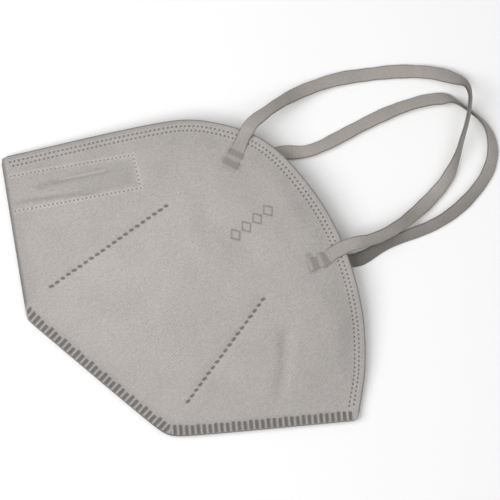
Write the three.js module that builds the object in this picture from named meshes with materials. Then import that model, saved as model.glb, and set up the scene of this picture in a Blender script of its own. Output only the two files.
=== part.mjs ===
// A fold-flat dust mask with two ear loops, folded in half and lying on its right side.
// Everything is laid out in millimetres about the crease that each half opens on: x runs along
// the crease from the nose corner to the chin corner, y runs towards the face, z is up.
import * as THREE from 'three';

// Outline of one half: three straight front edges and one curved face edge
const CREASE_LENGTH = 160;
const FOLD_EDGE = { start: -1.6, slope: -0.99 };
const FRONT_SEAM = { start: -39.4, slope: -0.072 };
const CHIN_SEAM = { start: -143.4, slope: 0.885 };
const CORNER_ROUNDING = 3;
const FACE_EDGE = [[0, 1.8], [40, 46.3], [54, 56.2], [74, 61.8], [98, 57.6], [118, 48.6], [138, 33.4],
  [152, 16.3], [160, 1.5]];
const SEAM_START = 39;
const SEAM_FULL = 44;
const SEAM_WIDTH = 4.8;
const SEAM_TAPERS = [146, 153];
const FOLD_BEAD = 0.35;
const END_MARGIN = 0.8;

// Plies of one half, as depths below the outer face
const HALF_THICKNESS = 2.4;
const PLIES = [
  { name: 'outer_cover', from: 0, to: 0.3, hem: 0, colour: 0x6f6b68 },
  { name: 'cotton_layer', from: 1.0, to: 1.5, hem: 1.5, colour: 0xdcdad4 },
  { name: 'filter_layer_a', from: 1.58, to: 1.78, hem: 1.5, colour: 0xeceae6 },
  { name: 'filter_layer_b', from: 1.86, to: 2.06, hem: 1.5, colour: 0xe6e6e2 },
  { name: 'lining', from: 2.14, to: 2.39, hem: 0, colour: 0xcfccc6 },
];

// The crease on each side: the front part stops before it and the flap starts after it
const FRONT_STOP = -1.0;
const FLAP_START = 1.7;

// How the folded mask lies
const REST_GAP = 0.3;
const FACE_RISE = 6.5;
const RISE_POWER = 1.3;
const TAB_ROOM = 0.9;
const LIFT_START = 0.44;
const LIFT_SPAN = 0.18;
const LIFT_BEGINS = [25, 44];
const LIFT_ENDS = [130, 146];
const SEAM_LOW = 1.8;
const SEAM_HIGH = 3.0;
const SEAM_INNER_GAP = 0.2;

// Nose clip: a flat strip between cover and cotton, at right angles to the fold edge
const CLIP_START = [8.2, -9.7];
const CLIP_DIRECTION = [0.694, 0.72];
const CLIP_WIDTH = 4.5;
const CLIP_FROM = 0.46;
const CLIP_TO = 0.84;
const CLIP_FRONT_END = 11.6;
const CLIP_ARM_START = 16.4;
const CLIP_ARM_END = 48.5;
const CLIP_ARM_STEPS = 6;

// Ear loops: a flat elastic, here as a plain round tube, and the flat stretch at each end that
// is welded to the cover
const LOOP_RADIUS = 1.2;
const LOOP_SIDES = 8;
const LOOP_STEPS = 56;
const TAB_WIDTH = 5;
const TAB_THICKNESS = 0.5;
const TAB_GAP = 0.12;
const TAB_STOPS = [0, 0.25, 0.5, 0.75, 1];
const TABS = [
  { name: 'loop_tab_nose_left', side: 'left', from: [68.6, 46.4], to: [65.8, 60.9] },
  { name: 'loop_tab_chin_left', side: 'left', from: [113.4, 34.6], to: [119.1, 48.2] },
  { name: 'loop_tab_nose_right', side: 'right', from: [68.5, 47.3], to: [80.6, 62.1] },
  { name: 'loop_tab_chin_right', side: 'right', from: [113.6, 36.6], to: [125.6, 45.4] },
];
const LEFT_LOOP_ROUTE = [
  [65.7, 61.3, 12.8], [65.9, 64.6, 12.2], [67.2, 69.6, 10.2], [69.7, 77.0, 7.0], [73.8, 85.4, 3.8],
  [80.8, 95.5, 1.7], [88.5, 103.4, 1.3], [98.2, 112.0, 1.4], [107.6, 118.2, 2.2], [115.2, 121.2, 3.6],
  [120.4, 121.9, 5.2], [123.6, 119.8, 6.2], [126.2, 115.9, 6.6], [128.6, 111.2, 6.2], [130.8, 105.6, 4.8],
  [133.4, 98.6, 2.8], [135.2, 90.4, 1.4], [134.9, 82.0, 1.4], [133.3, 73.4, 2.8], [131.1, 65.8, 4.8],
  [128.2, 59.4, 6.6], [124.9, 54.6, 8.4], [121.8, 51.4, 10.0], [119.4, 48.7, 11.0],
];
const RIGHT_LOOP_ROUTE = [
  [81.2, 62.9, 1.3], [84.4, 65.2, 1.3], [87.8, 68.2, 1.3], [91.0, 72.8, 1.3], [94.5, 79.6, 1.3],
  [98.4, 87.6, 1.3], [102.6, 95.5, 1.3], [107.2, 102.8, 1.3], [112.4, 109.3, 1.3], [117.4, 113.6, 1.3],
  [122.2, 115.1, 1.3], [127.0, 115.3, 1.3], [131.9, 115.1, 1.3], [136.4, 113.9, 1.3], [140.6, 111.0, 1.3],
  [144.0, 106.6, 1.3], [146.0, 100.6, 1.3], [146.4, 93.6, 1.3], [145.6, 86.4, 1.3], [143.6, 79.0, 1.3],
  [140.6, 72.4, 1.3], [136.8, 66.4, 1.3], [133.0, 60.4, 1.3], [130.0, 54.6, 1.3], [128.2, 50.2, 1.3],
  [126.4, 46.5, 1.3],
];

// Where the sheets are divided along the crease and across it
const COLUMNS = [5, 10, 17, 25, 33, 39, 44, 54, 64, 74, 84, 94, 104, 109, 114, 122, 130, 138, 146, 153];
const COLUMN_SEARCH = 0.2;
const SLOPE_STEP = 0.5;
const COLUMN_MARGIN = 1.2;
const LEAST_DEPTH = 1.2;
const FRONT_SHARES = [0, 0.3, 0.6, 1];
const FLAP_SHARES = [0, 0.22, 0.44, 0.62, 0.8, 1];

function lineAt(line, x) {
  return line.start + line.slope * x;
}

function softMaximum(a, b) {
  return (a + b + Math.hypot(a - b, CORNER_ROUNDING)) / 2;
}

function frontEdge(x) {
  const seams = softMaximum(lineAt(FRONT_SEAM, x), lineAt(CHIN_SEAM, x));
  return softMaximum(lineAt(FOLD_EDGE, x), seams);
}

// A smooth curve through the face edge's points, with the slope at each from its neighbours
function faceEdge(x) {
  const slopeAt = (k) => {
    const before = FACE_EDGE[Math.max(k - 1, 0)];
    const after = FACE_EDGE[Math.min(k + 1, FACE_EDGE.length - 1)];
    return (after[1] - before[1]) / (after[0] - before[0]);
  };
  let k = 0;
  while (k < FACE_EDGE.length - 2 && x > FACE_EDGE[k + 1][0]) {
    k += 1;
  }
  const [x0, y0] = FACE_EDGE[k];
  const [x1, y1] = FACE_EDGE[k + 1];
  const t = (x - x0) / (x1 - x0);
  const bend0 = slopeAt(k) * (x1 - x0) - (y1 - y0);
  const bend1 = (y1 - y0) - slopeAt(k + 1) * (x1 - x0);
  return y0 + t * (y1 - y0) + t * (1 - t) * ((1 - t) * bend0 + t * bend1);
}

// The lower half lifts off the surface where its loop tabs lie under it
function floorLift(x, y) {
  const towardsFace = THREE.MathUtils.clamp((y / faceEdge(x) - LIFT_START) / LIFT_SPAN, 0, 1);
  const fromNose = THREE.MathUtils.smoothstep(x, ...LIFT_BEGINS);
  const toChin = 1 - THREE.MathUtils.smoothstep(x, ...LIFT_ENDS);
  return TAB_ROOM * towardsFace * fromNose * toChin;
}

// The upper half stands off the lower one, most at the middle of the face edge
function rise(x, y) {
  const share = Math.max((y - frontEdge(x)) / (faceEdge(x) - frontEdge(x)), 0);
  return REST_GAP + FACE_RISE * share ** RISE_POWER * Math.sin((Math.PI * x) / CREASE_LENGTH);
}

function lowerPoint(x, y, depth) {
  return new THREE.Vector3(x, y, floorLift(x, y) + depth);
}

function upperPoint(x, y, depth) {
  return new THREE.Vector3(x, y, floorLift(x, y) + 2 * HALF_THICKNESS + rise(x, y) - depth);
}

function signedVolume(points, faces) {
  let volume = 0;
  for (const [a, b, c] of faces) {
    volume += points[a].dot(new THREE.Vector3().crossVectors(points[b], points[c])) / 6;
  }
  return volume;
}

// A closed sheet between an outer and an inner grid of points, each [column][row]
function thickSheet(outer, inner) {
  const columns = outer.length;
  const rows = outer[0].length;
  const points = [...outer.flat(), ...inner.flat()];
  const innerStart = columns * rows;
  const faces = [];
  const quad = (a, b, c, d) => faces.push([a, b, c], [a, c, d]);
  const at = (column, row) => column * rows + row;
  for (let c = 0; c < columns - 1; c += 1) {
    for (let r = 0; r < rows - 1; r += 1) {
      const [a, b, d, e] = [at(c, r), at(c + 1, r), at(c + 1, r + 1), at(c, r + 1)];
      quad(a, b, d, e);
      quad(d + innerStart, b + innerStart, a + innerStart, e + innerStart);
    }
  }
  const wall = (a, b) => quad(b, a, a + innerStart, b + innerStart);
  for (let c = 0; c < columns - 1; c += 1) {
    wall(at(c, 0), at(c + 1, 0));
    wall(at(c + 1, rows - 1), at(c, rows - 1));
  }
  for (let r = 0; r < rows - 1; r += 1) {
    wall(at(0, r + 1), at(0, r));
    wall(at(columns - 1, r), at(columns - 1, r + 1));
  }
  if (signedVolume(points, faces) < 0) {
    faces.forEach((face) => face.reverse());
  }
  const geometry = new THREE.BufferGeometry().setFromPoints(points);
  geometry.setIndex(faces.flat());
  geometry.computeVertexNormals();
  return geometry;
}

// The part of the crease's length where a piece is deep enough, cut into columns
function columnsWhere(isDeepEnough) {
  let first = END_MARGIN;
  let last = CREASE_LENGTH - END_MARGIN;
  while (!isDeepEnough(first)) {
    first += COLUMN_SEARCH;
  }
  while (!isDeepEnough(last)) {
    last -= COLUMN_SEARCH;
  }
  const inside = COLUMNS.filter((x) => x > first + COLUMN_MARGIN && x < last - COLUMN_MARGIN);
  return [first, ...inside, last];
}

function seamShare(x) {
  const grown = THREE.MathUtils.smoothstep(x, SEAM_START, SEAM_FULL);
  return grown * (1 - THREE.MathUtils.smoothstep(x, ...SEAM_TAPERS));
}

// How far a depth below the outer face moves the front wall in from the outline, along y
function frontInset(x, depth) {
  const slope = (frontEdge(x + SLOPE_STEP) - frontEdge(x - SLOPE_STEP)) / (2 * SLOPE_STEP);
  const stretch = Math.hypot(1, slope);
  const seam = FOLD_BEAD + (SEAM_WIDTH - FOLD_BEAD) * seamShare(x);
  return (seam + depth) * stretch;
}

function frontColumns(depth) {
  return columnsWhere((x) => frontEdge(x) + frontInset(x, depth) < FRONT_STOP - LEAST_DEPTH);
}

function frontRows(x, depth) {
  const wall = frontEdge(x) + frontInset(x, depth);
  return FRONT_SHARES.map((share) => THREE.MathUtils.lerp(FRONT_STOP, wall, share));
}

// One ply of the front part: lower sheet, front wall and upper sheet in one, like a pouch
function frontPly(ply) {
  const outer = [];
  const inner = [];
  for (const x of frontColumns(ply.to)) {
    const outside = frontRows(x, ply.from);
    const inside = frontRows(x, ply.to);
    const down = outside.map((y) => lowerPoint(x, y, ply.from));
    const up = outside.map((y) => upperPoint(x, y, ply.from)).reverse();
    const downInside = inside.map((y) => lowerPoint(x, y, ply.to));
    const upInside = inside.map((y) => upperPoint(x, y, ply.to)).reverse();
    outer.push([...down, ...up]);
    inner.push([...downInside, ...upInside]);
  }
  return thickSheet(outer, inner);
}

// The outer cover's front part also carries the welded seam that stands out along its edge
function frontCover(ply) {
  const outer = [];
  const inner = [];
  for (const x of frontColumns(ply.to)) {
    const edge = frontEdge(x);
    const outside = frontRows(x, ply.from);
    const wall = outside[outside.length - 1];
    const inside = frontRows(x, ply.to);
    const innerWall = inside[inside.length - 1];
    const down = outside.map((y) => lowerPoint(x, y, ply.from));
    const up = outside.map((y) => upperPoint(x, y, ply.from)).reverse();
    const seam = [[wall, SEAM_LOW], [edge, SEAM_LOW], [edge, SEAM_HIGH], [wall, SEAM_HIGH]];
    const downInside = inside.map((y) => lowerPoint(x, y, ply.to));
    const upInside = inside.map((y) => upperPoint(x, y, ply.to)).reverse();
    const middle = (SEAM_LOW + SEAM_HIGH) / 2;
    const heights = [SEAM_LOW, middle - SEAM_INNER_GAP, middle + SEAM_INNER_GAP, SEAM_HIGH];
    outer.push([...down, ...seam.map(([y, z]) => new THREE.Vector3(x, y, z)), ...up]);
    inner.push([...downInside, ...heights.map((z) => new THREE.Vector3(x, innerWall, z)), ...upInside]);
  }
  return thickSheet(outer, inner);
}

function flapPly(ply, place) {
  const columns = columnsWhere((x) => faceEdge(x) - ply.hem > FLAP_START + LEAST_DEPTH);
  const sheet = (depth) => columns.map((x) => FLAP_SHARES.map((share) => {
    const y = THREE.MathUtils.lerp(FLAP_START, faceEdge(x) - ply.hem, share);
    return place(x, y, depth);
  }));
  return thickSheet(sheet(ply.from), sheet(ply.to));
}

function clipPoint(along, across) {
  const x = CLIP_START[0] + CLIP_DIRECTION[0] * along + CLIP_DIRECTION[1] * across;
  const y = CLIP_START[1] + CLIP_DIRECTION[1] * along - CLIP_DIRECTION[0] * across;
  return [x, y];
}

function clipBridge() {
  const sheet = (depth) => [-CLIP_WIDTH / 2, 0, CLIP_WIDTH / 2].map((across) => {
    const stops = [CLIP_FRONT_END, CLIP_FRONT_END / 2, FOLD_BEAD + depth];
    const down = stops.map((along) => lowerPoint(...clipPoint(along, across), depth));
    const up = stops.map((along) => upperPoint(...clipPoint(along, across), depth)).reverse();
    return [...down, ...up];
  });
  return thickSheet(sheet(CLIP_FROM), sheet(CLIP_TO));
}

function clipArm(place) {
  const sheet = (depth) => [-CLIP_WIDTH / 2, 0, CLIP_WIDTH / 2].map((across) => {
    const row = [];
    for (let k = 0; k <= CLIP_ARM_STEPS; k += 1) {
      const along = THREE.MathUtils.lerp(CLIP_ARM_START, CLIP_ARM_END, k / CLIP_ARM_STEPS);
      row.push(place(...clipPoint(along, across), depth));
    }
    return row;
  });
  return thickSheet(sheet(CLIP_FROM), sheet(CLIP_TO));
}

// A welded end lies flat on the outer face, so its depth is negative
function loopTab(tab) {
  const place = tab.side === 'left' ? upperPoint : lowerPoint;
  const length = Math.hypot(tab.to[0] - tab.from[0], tab.to[1] - tab.from[1]);
  const direction = [(tab.to[0] - tab.from[0]) / length, (tab.to[1] - tab.from[1]) / length];
  const sheet = (depth) => [-0.5, 0, 0.5].map((across) => TAB_STOPS.map((along) => {
    const x = tab.from[0] + direction[0] * along * length + direction[1] * across * TAB_WIDTH;
    const y = tab.from[1] + direction[1] * along * length - direction[0] * across * TAB_WIDTH;
    return place(x, y, depth);
  }));
  return thickSheet(sheet(-TAB_GAP - TAB_THICKNESS), sheet(-TAB_GAP));
}

function loopTube(route) {
  const section = new THREE.Shape();
  for (let k = 0; k < LOOP_SIDES; k += 1) {
    const angle = ((k + 0.5) / LOOP_SIDES) * 2 * Math.PI;
    const point = [LOOP_RADIUS * Math.cos(angle), LOOP_RADIUS * Math.sin(angle)];
    if (k === 0) {
      section.moveTo(...point);
    } else {
      section.lineTo(...point);
    }
  }
  const path = new THREE.CatmullRomCurve3(route.map((p) => new THREE.Vector3(...p)), false, 'centripetal');
  return new THREE.ExtrudeGeometry(section, { extrudePath: path, steps: LOOP_STEPS });
}

function fabric(colour) {
  return new THREE.MeshStandardMaterial({ color: colour, roughness: 0.9, metalness: 0 });
}

const mask = new THREE.Group();

function addPiece(name, geometry, material) {
  const mesh = new THREE.Mesh(geometry, material);
  mesh.name = name;
  mask.add(mesh);
}

for (const ply of PLIES) {
  const look = fabric(ply.colour);
  const front = ply.name === 'outer_cover' ? frontCover(ply) : frontPly(ply);
  addPiece(`${ply.name}_front`, front, look);
  addPiece(`${ply.name}_left`, flapPly(ply, upperPoint), look);
  addPiece(`${ply.name}_right`, flapPly(ply, lowerPoint), look);
}

const clipLook = new THREE.MeshStandardMaterial({ color: 0xb9babb, roughness: 0.45, metalness: 0.8 });
addPiece('nose_clip_bridge', clipBridge(), clipLook);
addPiece('nose_clip_arm_left', clipArm(upperPoint), clipLook);
addPiece('nose_clip_arm_right', clipArm(lowerPoint), clipLook);

const loopLook = fabric(0x5f5a54);
for (const tab of TABS) {
  addPiece(tab.name, loopTab(tab), loopLook);
}

// The origin is at the middle of the mask's own footprint, on the surface it lies on
const footprint = new THREE.Box3().setFromObject(mask);
const middle = footprint.getCenter(new THREE.Vector3());
mask.position.set(-middle.x, -middle.y, 0);
addPiece('ear_loop_left', loopTube(LEFT_LOOP_ROUTE), loopLook);
addPiece('ear_loop_right', loopTube(RIGHT_LOOP_ROUTE), loopLook);

export default mask;
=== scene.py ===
"""A flat-folded disposable dust mask with two ear loops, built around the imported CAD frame.

Shapes are worked out in crease millimetres: x runs along the crease that joins the nose corner to the chin
corner, y runs towards the face edge and z is up. place() turns them into the row frame, in metres.
"""
import math

import bpy
import numpy as np
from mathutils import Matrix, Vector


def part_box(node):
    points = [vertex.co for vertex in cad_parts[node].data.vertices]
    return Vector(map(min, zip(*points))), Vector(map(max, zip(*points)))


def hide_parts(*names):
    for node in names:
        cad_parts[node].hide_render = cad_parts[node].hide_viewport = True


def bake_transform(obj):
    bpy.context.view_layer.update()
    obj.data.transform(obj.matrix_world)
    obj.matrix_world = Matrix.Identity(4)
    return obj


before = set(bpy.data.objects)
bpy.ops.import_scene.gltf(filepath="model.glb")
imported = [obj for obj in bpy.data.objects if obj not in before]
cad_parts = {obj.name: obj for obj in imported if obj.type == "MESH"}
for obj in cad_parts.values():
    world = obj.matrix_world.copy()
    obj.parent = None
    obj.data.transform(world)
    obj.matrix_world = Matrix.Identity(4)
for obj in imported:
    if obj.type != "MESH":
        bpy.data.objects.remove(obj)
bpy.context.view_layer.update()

MM = 0.001
FRONT_STOP = -1.0        # the CAD front cover ends this far before the crease
CORNER_TRIM = 1.0        # the CAD side covers start this far from the nose corner
NOSE_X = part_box("outer_cover_left")[0].x / MM - CORNER_TRIM
CREASE_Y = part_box("outer_cover_front")[1].y / MM - FRONT_STOP

# -------------------- outline and heights of one half
CREASE_LENGTH = 160.0
FOLD_EDGE = {"start": -1.6, "slope": -0.99}
FRONT_SEAM = {"start": -39.4, "slope": -0.072}
CHIN_SEAM = {"start": -143.4, "slope": 0.885}
CORNER_ROUNDING = 3.0
RIDGE_ROUNDING = 0.8     # the corner where the ridge fold meets the front seam
FACE_EDGE = np.array([[0, 1.8], [40, 46.3], [54, 56.2], [74, 61.8], [98, 57.6], [118, 48.6], [138, 33.4],
                      [152, 16.3], [160, 1.5]])
HALF_THICKNESS = 2.4
REST_GAP = 0.3
REST_CLEARANCE = 0.05
FACE_RISE = 6.5
RISE_POWER = 1.3
TAB_ROOM = 0.9
LIFT_START = 0.44
LIFT_SPAN = 0.18
LIFT_BEGINS = (25, 44)
LIFT_ENDS = (130, 146)
FLANGE_HALF = 0.6        # half the thickness of the welded front seam
FLANGE_WIDTH = 4.2
FLANGE_RISE = 19.0       # distance over which the body swells up from the flange
FOLD_RADIUS = 2.2
SEAM_ROUND = 0.35
SEAM_BEGINS = (38.0, 40.5)
HEM_DROP = 0.55          # how much the welded hem is thinner than the body
HEM_WIDTH = 4.6
HEM_RISE = 6.0
PUFF_HEIGHT = 0.9
LOWER_PUFF = 0.5
CALM_EDGE = 9.0          # the cover's unevenness fades out this close to its edges
COVER_DEPTH = 0.3
LINING_DEPTH = 2.39      # depth of the innermost face under the cover
HEM_SHARE = 0.42         # how thin the plies are pressed at the hem
SEAM_SHARE = 0.96        # how much of the seam's half thickness they fill
MOST_PUSH = 0.7          # the most of their thickness that a weld pushes them in

# -------------------- welds
HEM_LINES = (2.35, 3.93)
HEM_PITCH = 1.65
DOT_RADIUS = 0.37
DOT_DEPTH = 0.24
HEM_GROOVE = 0.12
POCKET = [(5.5, -3.2), (37.3, 29.4), (46.8, 21.4), (14.5, -12.5)]
POCKET_PITCH = 1.54
POCKET_DOT = 0.38
POCKET_DEPTH = 0.2
POCKET_GROOVE = 0.16
RIBS = [((41.4, -27.0), (58.1, 21.5), 21), ((106.7, -31.6), (106.8, 14.8), 19)]
DASH_SIZE = (0.9, 0.5)
DASH_LEAN = -17.0
DASH_DEPTH = 0.34
RIB_GROOVE = 0.22
BAR_PITCH = 2.17
BAR_WIDTH = 1.34
BAR_START = 0.5
BAR_LENGTH = 3.5
BAR_CORNER = 0.36
BAR_DEPTH = 0.2

# -------------------- ear loops
BAND_WIDTH = 5.0
WELD_PITCH = 0.95        # pitch of the ribs in a loop's weld


def between(x, limits):
    """0 before the first limit, smoothly up to 1 at the second."""
    return smoothstep((x - limits[0]) / (limits[1] - limits[0]))


def smoothstep(t):
    t = np.clip(t, 0, 1)
    return t * t * (3 - 2 * t)


def mix(a, b, share):
    return a + (b - a) * share


def pairs(points):
    """Each point with the next one."""
    return zip(points[:-1], points[1:])


def unit(vectors):
    return vectors / np.linalg.norm(vectors, axis=-1, keepdims=True)


def place(x, y, z):
    """Row-frame points in metres, as an array of three columns."""
    return np.stack([np.asarray(x) + NOSE_X, np.asarray(y) + CREASE_Y, np.asarray(z)], -1) * MM


def line_at(line, x):
    return line["start"] + line["slope"] * x


def soft_maximum(a, b, rounding):
    return (a + b + np.hypot(a - b, rounding)) / 2


def front_edge(x):
    seams = soft_maximum(line_at(FRONT_SEAM, x), line_at(CHIN_SEAM, x), CORNER_ROUNDING)
    return soft_maximum(line_at(FOLD_EDGE, x), seams, RIDGE_ROUNDING)


def face_edge(x):
    x = np.asarray(x, float)
    xs, ys = FACE_EDGE[:, 0], FACE_EDGE[:, 1]
    ahead = np.minimum(np.arange(len(xs)) + 1, len(xs) - 1)
    behind = np.maximum(np.arange(len(xs)) - 1, 0)
    slopes = (ys[ahead] - ys[behind]) / (xs[ahead] - xs[behind])
    k = np.clip(np.searchsorted(xs, x, side="right") - 1, 0, len(xs) - 2)
    dx, dy = xs[k + 1] - xs[k], ys[k + 1] - ys[k]
    t = (x - xs[k]) / dx
    bend = (1 - t) * (slopes[k] * dx - dy) + t * (dy - slopes[k + 1] * dx)
    return ys[k] + t * dy + t * (1 - t) * bend


def along_segment(x, y, a, b):
    """Length along a straight line, and the distance to its left, with the line's own length."""
    length = math.hypot(b[0] - a[0], b[1] - a[1])
    ux, uy = (b[0] - a[0]) / length, (b[1] - a[1]) / length
    along = (x - a[0]) * ux + (y - a[1]) * uy
    across = (y - a[1]) * ux - (x - a[0]) * uy
    return along, across, length


def beyond(along, length):
    return np.maximum(np.maximum(-along, along - length), 0)


EDGE_X = np.linspace(0, CREASE_LENGTH, 801)
EDGE_POINTS = np.stack([EDGE_X, face_edge(EDGE_X)], 1)
EDGE_ALONG = np.concatenate([[0], np.cumsum(np.linalg.norm(np.diff(EDGE_POINTS, axis=0), axis=1))])
TABLE_STEP = 0.5
TABLE_X = np.arange(-2, CREASE_LENGTH + 2.01, TABLE_STEP)
TABLE_Y = np.arange(-54, 66.01, TABLE_STEP)


def face_edge_table():
    """Distance to the face edge and the length along it, on a grid of points; past the edge it is negative."""
    x, y = np.meshgrid(TABLE_X, TABLE_Y, indexing="ij")
    distance, where = np.full(x.shape, 1e3), np.zeros(x.shape)
    for a, b, start in zip(EDGE_POINTS[:-1], EDGE_POINTS[1:], EDGE_ALONG):
        along, across, length = along_segment(x, y, a, b)
        gap = np.hypot(across, beyond(along, length))
        where = np.where(gap < distance, start + np.clip(along, 0, length), where)
        distance = np.minimum(distance, gap)
    past = y > face_edge(np.clip(x, 0, CREASE_LENGTH))
    return np.stack([np.where(past, -distance, distance), where])


TABLE = face_edge_table()


def from_face_edge(x, y):
    """Distance in from the face edge, and the length along it, read from the table between its points."""
    u = np.clip((np.asarray(x, float) - TABLE_X[0]) / TABLE_STEP, 0, len(TABLE_X) - 1.001)
    v = np.clip((np.asarray(y, float) - TABLE_Y[0]) / TABLE_STEP, 0, len(TABLE_Y) - 1.001)
    i, j = u.astype(int), v.astype(int)
    u, v = u - i, v - j
    low = TABLE[:, i, j] * (1 - u) + TABLE[:, i + 1, j] * u
    high = TABLE[:, i, j + 1] * (1 - u) + TABLE[:, i + 1, j + 1] * u
    distance, along = low * (1 - v) + high * v
    return np.maximum(distance, 0), along


def from_line(line, x, y):
    """Distance above one of the three straight front edges."""
    return (y - line_at(line, x)) / math.hypot(1, line["slope"])


def soft_minimum(a, b, rounding):
    return (a + b - np.hypot(a - b, rounding)) / 2


def from_front_edge(x, y):
    fold, front, chin = (from_line(line, x, y) for line in (FOLD_EDGE, FRONT_SEAM, CHIN_SEAM))
    slope = (front_edge(x + 0.05) - front_edge(x - 0.05)) / 0.1
    near = (y - front_edge(x)) / np.hypot(1, slope)
    far = soft_minimum(fold, soft_minimum(front, chin, CORNER_ROUNDING), RIDGE_ROUNDING)
    return np.where(near < 1, near, np.maximum(mix(near, far, smoothstep((near - 1) / 3)), 0))


def from_lines(x, y, points):
    """Distance to the nearest of the straight lines that join the points."""
    near = np.full(np.shape(x), 1e3)
    for a, b in pairs(points):
        along, across, length = along_segment(x, y, a, b)
        near = np.minimum(near, np.hypot(across, beyond(along, length)))
    return near


def from_ribs(x, y):
    return np.minimum(from_lines(x, y, RIBS[0][:2]), from_lines(x, y, RIBS[1][:2]))


def from_seams(x, y):
    """Distance in from the two welded front seams."""
    front, chin = from_line(FRONT_SEAM, x, y), from_line(CHIN_SEAM, x, y)
    return np.maximum(soft_minimum(front, chin, CORNER_ROUNDING), 0)


def pinned_distance(x, y):
    """Distance to the nearest weld or fold, which holds the cover down."""
    face = from_face_edge(x, y)[0] - HEM_WIDTH
    front = from_front_edge(x, y) - FLANGE_WIDTH
    dotted = np.minimum(from_ribs(x, y), from_lines(x, y, POCKET)) - 0.5
    return np.maximum(np.minimum(np.minimum(face, front), dotted), 0)


def floor_lift(x, y):
    ramp = np.clip((y / face_edge(x) - LIFT_START) / LIFT_SPAN, 0, 1)
    return TAB_ROOM * ramp * between(x, LIFT_BEGINS) * (1 - between(x, LIFT_ENDS))


def rise(x, y):
    front = front_edge(x)
    share = np.clip((y - front) / (face_edge(x) - front), 0, 1)
    return REST_GAP + FACE_RISE * share ** RISE_POWER * np.sin(math.pi * np.clip(x / CREASE_LENGTH, 0, 1))


def wave_field(x, y, waves):
    """Soft unevenness: a few long waves, each (length, direction in degrees, phase, height)."""
    total = 0
    for length, direction, phase, height in waves:
        a = math.radians(direction)
        total = total + height * np.sin(2 * math.pi * (x * math.cos(a) + y * math.sin(a)) / length + phase)
    return total


SOFT_WAVES = [(31, 38, 0.4, 0.16), (23, 112, 2.1, 0.12), (17, 71, 4.0, 0.08), (12.5, 8, 1.3, 0.05),
              (9.5, 141, 5.2, 0.045), (7.1, 55, 0.9, 0.03)]
# soft folds of the cover: the points of each valley, its half width and its depth
FOLDS = [([(122.6, 7.6), (128.6, -1.6), (134.4, -12.8)], 2.5, 1.35),
         ([(51.0, 31.7), (66.9, 33.4), (75.1, 24.0), (86.6, 27.5)], 3.2, 0.5),
         ([(74.0, -9.5), (89.0, 0.5)], 3.6, 0.25)]


def folds(x, y):
    """Depth of the soft valleys."""
    total = 0
    for points, width, depth in FOLDS:
        near = np.full(np.shape(x), 1e3)
        for a, b in pairs(points):
            along, across, length = along_segment(x, y, a, b)
            near = np.minimum(near, np.hypot(across, beyond(along, length) / 1.6))
        total = total + depth * np.exp(-(near / width) ** 2)
    return total


def outer_height(x, y, side, swell):
    """Height of the cover's smooth outer face. side is 1 for the upper, left half and -1 for the lower."""
    face = from_face_edge(x, y)[0]
    front = from_front_edge(x, y)
    lift = floor_lift(x, y)
    hem = plateau(face, HEM_WIDTH, HEM_RISE)
    uneven = wave_field(x, y, SOFT_WAVES) * smoothstep(np.minimum(face, front) / CALM_EDGE)
    if side > 0:
        body = lift + HALF_THICKNESS + rise(x, y) - HEM_DROP * hem
        body = body + PUFF_HEIGHT * (swell - 1) + uneven - folds(x, y)
    else:
        body = HALF_THICKNESS - REST_CLEARANCE - lift - LOWER_PUFF * (1 - np.minimum(swell, 1))
    half = mix(FLANGE_HALF, body, smoothstep((from_seams(x, y) - FLANGE_WIDTH) / FLANGE_RISE))
    radius = mix(FOLD_RADIUS, SEAM_ROUND, between(x, SEAM_BEGINS))
    t = np.clip(front / radius, 0, 1)
    return HALF_THICKNESS + side * half * np.sqrt(1 - (1 - t) ** 2)


def ply_depth(x, y, depth, side):
    """Depth of a ply's face under the cover. The plies are pressed together at the hem, seams and welds."""
    face = from_face_edge(x, y)[0]
    at_hem = mix(HEM_SHARE, 1, smoothstep((face - HEM_WIDTH) / HEM_RISE))
    swelling = smoothstep((from_seams(x, y) - FLANGE_WIDTH) / FLANGE_RISE)
    at_seam = mix(SEAM_SHARE * FLANGE_HALF / HALF_THICKNESS, 1, swelling)
    share = np.minimum(at_hem, at_seam)
    whole = LINING_DEPTH * share
    push = np.minimum(weld_push(x, y, side), MOST_PUSH * whole)
    return push + depth * share * (whole - push) / whole


def plateau(distance, reach, fade):
    """1 up to the reach, then down to 0 over the fade."""
    return 1 - smoothstep((distance - reach) / fade)


def outside_box(u, v, half_size):
    """Distance outside a rectangle about the origin."""
    return np.hypot(np.maximum(np.abs(u) - half_size[0], 0), np.maximum(np.abs(v) - half_size[1], 0))


def tab_places(x, y, side):
    """Each weld of the loop's ends: lengths along and across the band from its middle, and half its size."""
    for centre, ahead, size in TAB_WELDS[side]:
        along, across, _ = along_segment(x, y, centre, ahead)
        yield along, across, size


def strongest(distance, amounts):
    """The largest of several (amount, reach, fade) at a distance."""
    return np.max([amount * plateau(distance, reach, fade) for amount, reach, fade in amounts], axis=0)


# how far each kind of weld pushes the plies in, its reach and its fade
PUSHES = {"rib": (0.9, 1.8, 3.0), "pocket": (0.65, 1.4, 2.4), "hem": (0.45, 5.6, 2.5),
          "seam": (0.45, 5.0, 2.5), "tab": (0.45, 1.0, 2.0), "emblem": (0.35, 2.0, 2.0)}


def weld_push(x, y, side):
    """How far the welds push the plies in, which keeps them under the pressed detail of the cover."""
    emblem = outside_box(x - EMBLEM_CENTRE[0], y - EMBLEM_CENTRE[1], EMBLEM_HALF)
    welds = [("rib", from_ribs(x, y)), ("pocket", from_lines(x, y, POCKET)), ("hem", from_face_edge(x, y)[0]),
             ("seam", from_seams(x, y)), ("emblem", emblem)]
    welds += [("tab", outside_box(*tab)) for tab in tab_places(x, y, side)]
    return np.max([strongest(distance, [PUSHES[kind]]) for kind, distance in welds], axis=0)


# -------------------- pressed detail of the cover, with its painted shade and light
def dimple(distance, radius, soft=0.22):
    return plateau(distance, radius - soft, 2 * soft)


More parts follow.
